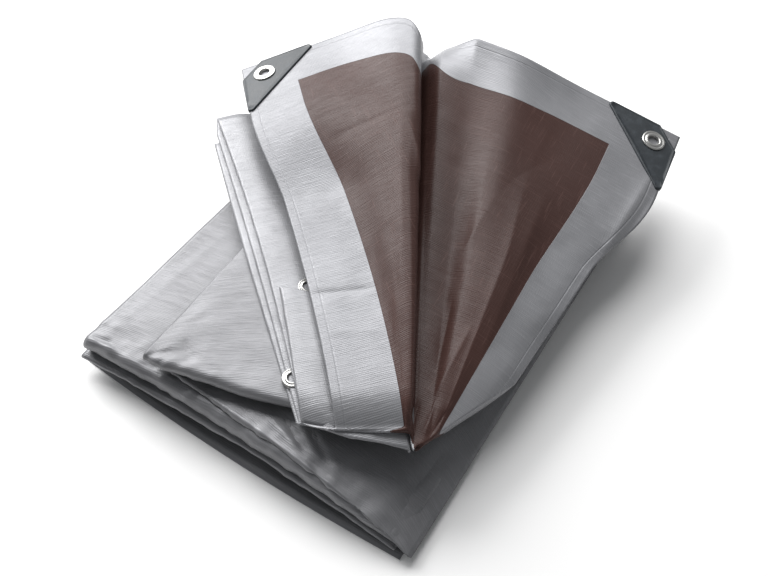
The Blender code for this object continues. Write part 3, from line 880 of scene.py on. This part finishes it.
def rounded_outline(corners, radii, steps):
    """A polygon's outline with round corners: at each corner an arc that touches both sides."""
    corners = np.array(corners, float)
    parts = []
    for index, radius in enumerate(radii):
        here = corners[index]
        back, ahead = corners[index - 1] - here, corners[(index + 1) % len(corners)] - here
        back, ahead = back / np.linalg.norm(back), ahead / np.linalg.norm(ahead)
        half = np.arccos(np.clip(back @ ahead, -1, 1)) / 2
        middle = (back + ahead) / np.linalg.norm(back + ahead)
        centre = here + middle * radius / np.sin(half)
        start = here + back * radius / np.tan(half) - centre
        end = here + ahead * radius / np.tan(half) - centre
        share = np.linspace(0, 1, steps)[:, None]
        arc = start * (1 - share) + end * share
        arc = arc / np.linalg.norm(arc, axis=1, keepdims=True) * radius
        parts.append(centre + arc)
    return np.concatenate(parts)


def even_path(path, count):
    """A closed path's points, spread evenly by length."""
    ring = np.concatenate([path, path[:1]])
    length = np.concatenate([[0], np.cumsum(np.linalg.norm(np.diff(ring, axis=0), axis=1))])
    at = np.linspace(0, length[-1], count, endpoint=False)
    return np.stack([np.interp(at, length, ring[:, axis]) for axis in range(2)], -1)


class TARP_OT_sleeves(bpy.types.Operator):
    """The two moulded sleeves over the free corners"""

    bl_idname = "folded_tarp.sleeves"
    bl_label = "Corner sleeves"

    def execute(self, context):
        sizes, colours = context.scene.tarp_sizes, context.scene.tarp_colours
        plastic = shared_finish("sleeve_moulded", make_plastic, colours.sleeve)
        for corner in FLAT_CORNERS:
            self.make_one(corner, sizes, plastic)
        return {"FINISHED"}

    def make_one(self, corner, sizes, plastic):
        """A closed ring of sections: from the eyelet's hole over the top to the rim, round the
        rim, and back under the cloth. The rim stands a little past the cloth's edges."""
        place, top, side = corner_frame(corner)
        handed = 1 if np.cross(top, side)[2] > 0 else -1
        leg, cut, rim, half = sizes.sleeve_leg, sizes.sleeve_chamfer, -0.0014, sizes.sleeve_half
        slant = leg + 0.0016
        outline = [(cut, rim), (leg, rim), (slant, 0.0035), (0.0035, slant), (rim, leg), (rim, cut)]
        outline = even_path(rounded_outline(outline, (0.002, 0.003, 0.0022, 0.0022, 0.003, 0.002), 9), 260)
        hole = np.array([sizes.eyelet_inset, sizes.eyelet_inset])
        away = outline - hole
        away = away / np.linalg.norm(away, axis=1, keepdims=True)
        inner = hole + away * (sizes.corner_bore + 0.0011)
        shares = np.array([0.0, 0.2, 0.4, 0.6, 0.75, 0.86])
        rows = [inner + (outline - away * 0.0032 - inner) * share / 0.86 for share in shares]
        heights = [np.full(len(outline), half) for _ in shares]
        bead = half + 0.00035
        for reach, height in ((0.0026, bead), (0.0014, bead), (0.0006, half), (0.0, half * 0.5)):
            rows.append(outline - away * reach)
            heights.append(np.full(len(outline), height))
        rows, heights = np.array(rows), np.array(heights)
        local = np.concatenate([rows, rows[::-1]])
        z = np.concatenate([heights, -heights[::-1]])
        local = np.concatenate([local, z[..., None]], -1)
        if handed < 0:
            local[..., 1] *= -1
        points = placed(local, place_matrix(place, top, side))
        if handed > 0:
            points = points[:, ::-1]
        mesh, _ = surface_mesh(f"sleeve_{corner.name}", points, True, True)
        mesh.set_sharp_from_angle(angle=np.radians(50))
        link(f"sleeve_{corner.name}", mesh, [plastic], [f"corner_sleeve_{corner.name}"])


class TARP_OT_eyelets(bpy.types.Operator):
    """The rolled eyelets in the two free corners and in the hem below"""

    bl_idname = "folded_tarp.eyelets"
    bl_label = "Eyelets"

    def execute(self, context):
        sizes, colours = context.scene.tarp_sizes, context.scene.tarp_colours
        metal = shared_finish("eyelet_plated", make_metal, colours.eyelet)
        for corner in FLAT_CORNERS:
            place, top, side = corner_frame(corner)
            centre = place + sizes.eyelet_inset * (top + side)
            matrix = place_matrix(centre, top, side)
            half = sizes.sleeve_half + 0.0004
            radii = sizes.corner_flange, sizes.corner_bore
            self.make_one(f"corner_{corner.name}", *radii, half, matrix, metal)
        for eyelet in HEM_EYELETS:
            centre, over, down = self.hem_spot(FAN_PLIES[eyelet.ply], eyelet)
            matrix = place_matrix(centre, over, down)
            half = sizes.cloth / 2 + 0.0003
            self.make_one(f"hem_{eyelet.name}", sizes.hem_flange, sizes.hem_bore, half, matrix, metal)
        return {"FINISHED"}

    def hem_spot(self, ply, eyelet):
        """The place on the under ply and its two directions there, by small steps."""
        step = 0.01
        spots = []
        for across, along in ((0, 0), (step, 0), (0, step)):
            one_across = np.full((1, 1), eyelet.across + across)
            one_along = np.full((1, 1), eyelet.along + along)
            spots.append(sunk(fan_plan(one_across, one_along), ply, one_across, one_along)[0, 0])
        return spots[0], spots[1] - spots[0], spots[2] - spots[0]

    def make_one(self, name, flange, bore, half, matrix, metal):
        """A section turned round the eyelet's axis: a rolled tube whose flange curves down to
        the sleeve, the same above and below."""
        roll = 0.22 * (flange - bore)
        angle = np.linspace(0, np.pi, 9)
        lip_r = bore + roll * (1 - np.cos(angle))
        lip_z = half + 0.0007 + roll * 0.55 * np.sin(angle)
        dish_r = np.array([bore + 2.6 * roll, bore + 3.4 * roll, flange - 0.0008, flange - 0.0002, flange])
        dish_z = half + np.array([0.0007, 0.00105, 0.0011, 0.0007, 0.0002])
        radius = np.concatenate([lip_r, dish_r, [flange - 0.0004]])
        height = np.concatenate([lip_z, dish_z, [half]])
        radius = np.concatenate([radius, radius[::-1]])
        height = np.concatenate([height, -height[::-1]])
        turns = np.linspace(0, 2 * np.pi, EYELET_SIDES, endpoint=False)[:, None]
        height = np.broadcast_to(height, (EYELET_SIDES, len(height)))
        local = np.stack([np.cos(turns) * radius, np.sin(turns) * radius, height], -1)
        mesh, _ = surface_mesh(f"eyelet_{name}_rolled", placed(local, matrix), True, True)
        link(f"eyelet_{name}_rolled", mesh, [metal], [f"eyelet_{name}"])


class TARP_OT_stage(bpy.types.Operator):
    """The floor, the lights and the camera"""

    bl_idname = "folded_tarp.stage"
    bl_label = "Stage"

    def execute(self, context):
        scene = context.scene
        floor = bpy.data.meshes.new("floor")
        floor.from_pydata([(-6, -6, 0), (6, -6, 0), (6, 6, 0), (-6, 6, 0)], [], [(0, 1, 2, 3)])
        floor.materials.append(make_floor_finish("floor_pale", scene.tarp_colours.floor))
        plane = bpy.data.objects.new("floor", floor)
        scene.collection.objects.link(plane)
        world = bpy.data.worlds.new("studio")
        world.use_nodes = True
        world.node_tree.nodes["Background"].inputs["Color"].default_value = (0.96, 0.98, 1.0, 1)
        world.node_tree.nodes["Background"].inputs["Strength"].default_value = 0.26
        scene.world = world
        self.add_light("window", (-1.55, 0.35, 1.05), (0.0, 0.0, 0.05), 1.2, 44.0)
        self.add_light("overhead", (-0.75, 1.15, 1.7), (0.0, 0.0, 0.05), 1.8, 46.0)
        data = bpy.data.cameras.new("camera")
        data.lens = 38.9
        data.sensor_width = 36.0
        data.clip_start = 0.01
        camera = bpy.data.objects.new("camera", data)
        camera.location = (0.307, -0.452, 0.62)
        camera.rotation_euler = (np.radians(38.6), 0.0, np.radians(32.7))
        scene.collection.objects.link(camera)
        scene.camera = camera
        scene.view_settings.view_transform = "Standard"
        return {"FINISHED"}

    def add_light(self, name, place, aim, size, power):
        data = bpy.data.lights.new(name, "AREA")
        data.shape = "DISK"
        data.size = size
        data.energy = power
        light = bpy.data.objects.new(name, data)
        light.location = place
        light.rotation_euler = (Vector(place) - Vector(aim)).to_track_quat("Z", "Y").to_euler()
        bpy.context.scene.collection.objects.link(light)


class TARP_PT_panel(bpy.types.Panel):
    """Lists the pieces and their settings"""

    bl_idname = "TARP_PT_panel"
    bl_label = "Folded Tarp"
    bl_space_type = "VIEW_3D"
    bl_region_type = "UI"
    bl_category = "Folded Tarp"

    def draw(self, context):
        for operator in OPERATORS:
            self.layout.operator(operator.bl_idname)
        for group in (context.scene.tarp_sizes, context.scene.tarp_colours):
            for name in group.__annotations__:
                self.layout.prop(group, name)


OPERATORS = (
    TARP_OT_packet,
    TARP_OT_under_plies,
    TARP_OT_top_ply,
    TARP_OT_sleeves,
    TARP_OT_eyelets,
    TARP_OT_stage,
)
CLASSES = (TarpSizes, TarpColours, *OPERATORS, TARP_PT_panel)


def register():
    for one in CLASSES:
        bpy.utils.register_class(one)
    bpy.types.Scene.tarp_sizes = PointerProperty(type=TarpSizes)
    bpy.types.Scene.tarp_colours = PointerProperty(type=TarpColours)


def unregister():
    del bpy.types.Scene.tarp_colours
    del bpy.types.Scene.tarp_sizes
    for one in reversed(CLASSES):
        bpy.utils.unregister_class(one)


def main():
    register()
    for operator in OPERATORS:
        group, name = operator.bl_idname.split(".")
        getattr(getattr(bpy.ops, group), name)()


if __name__ == "__main__":
    main()
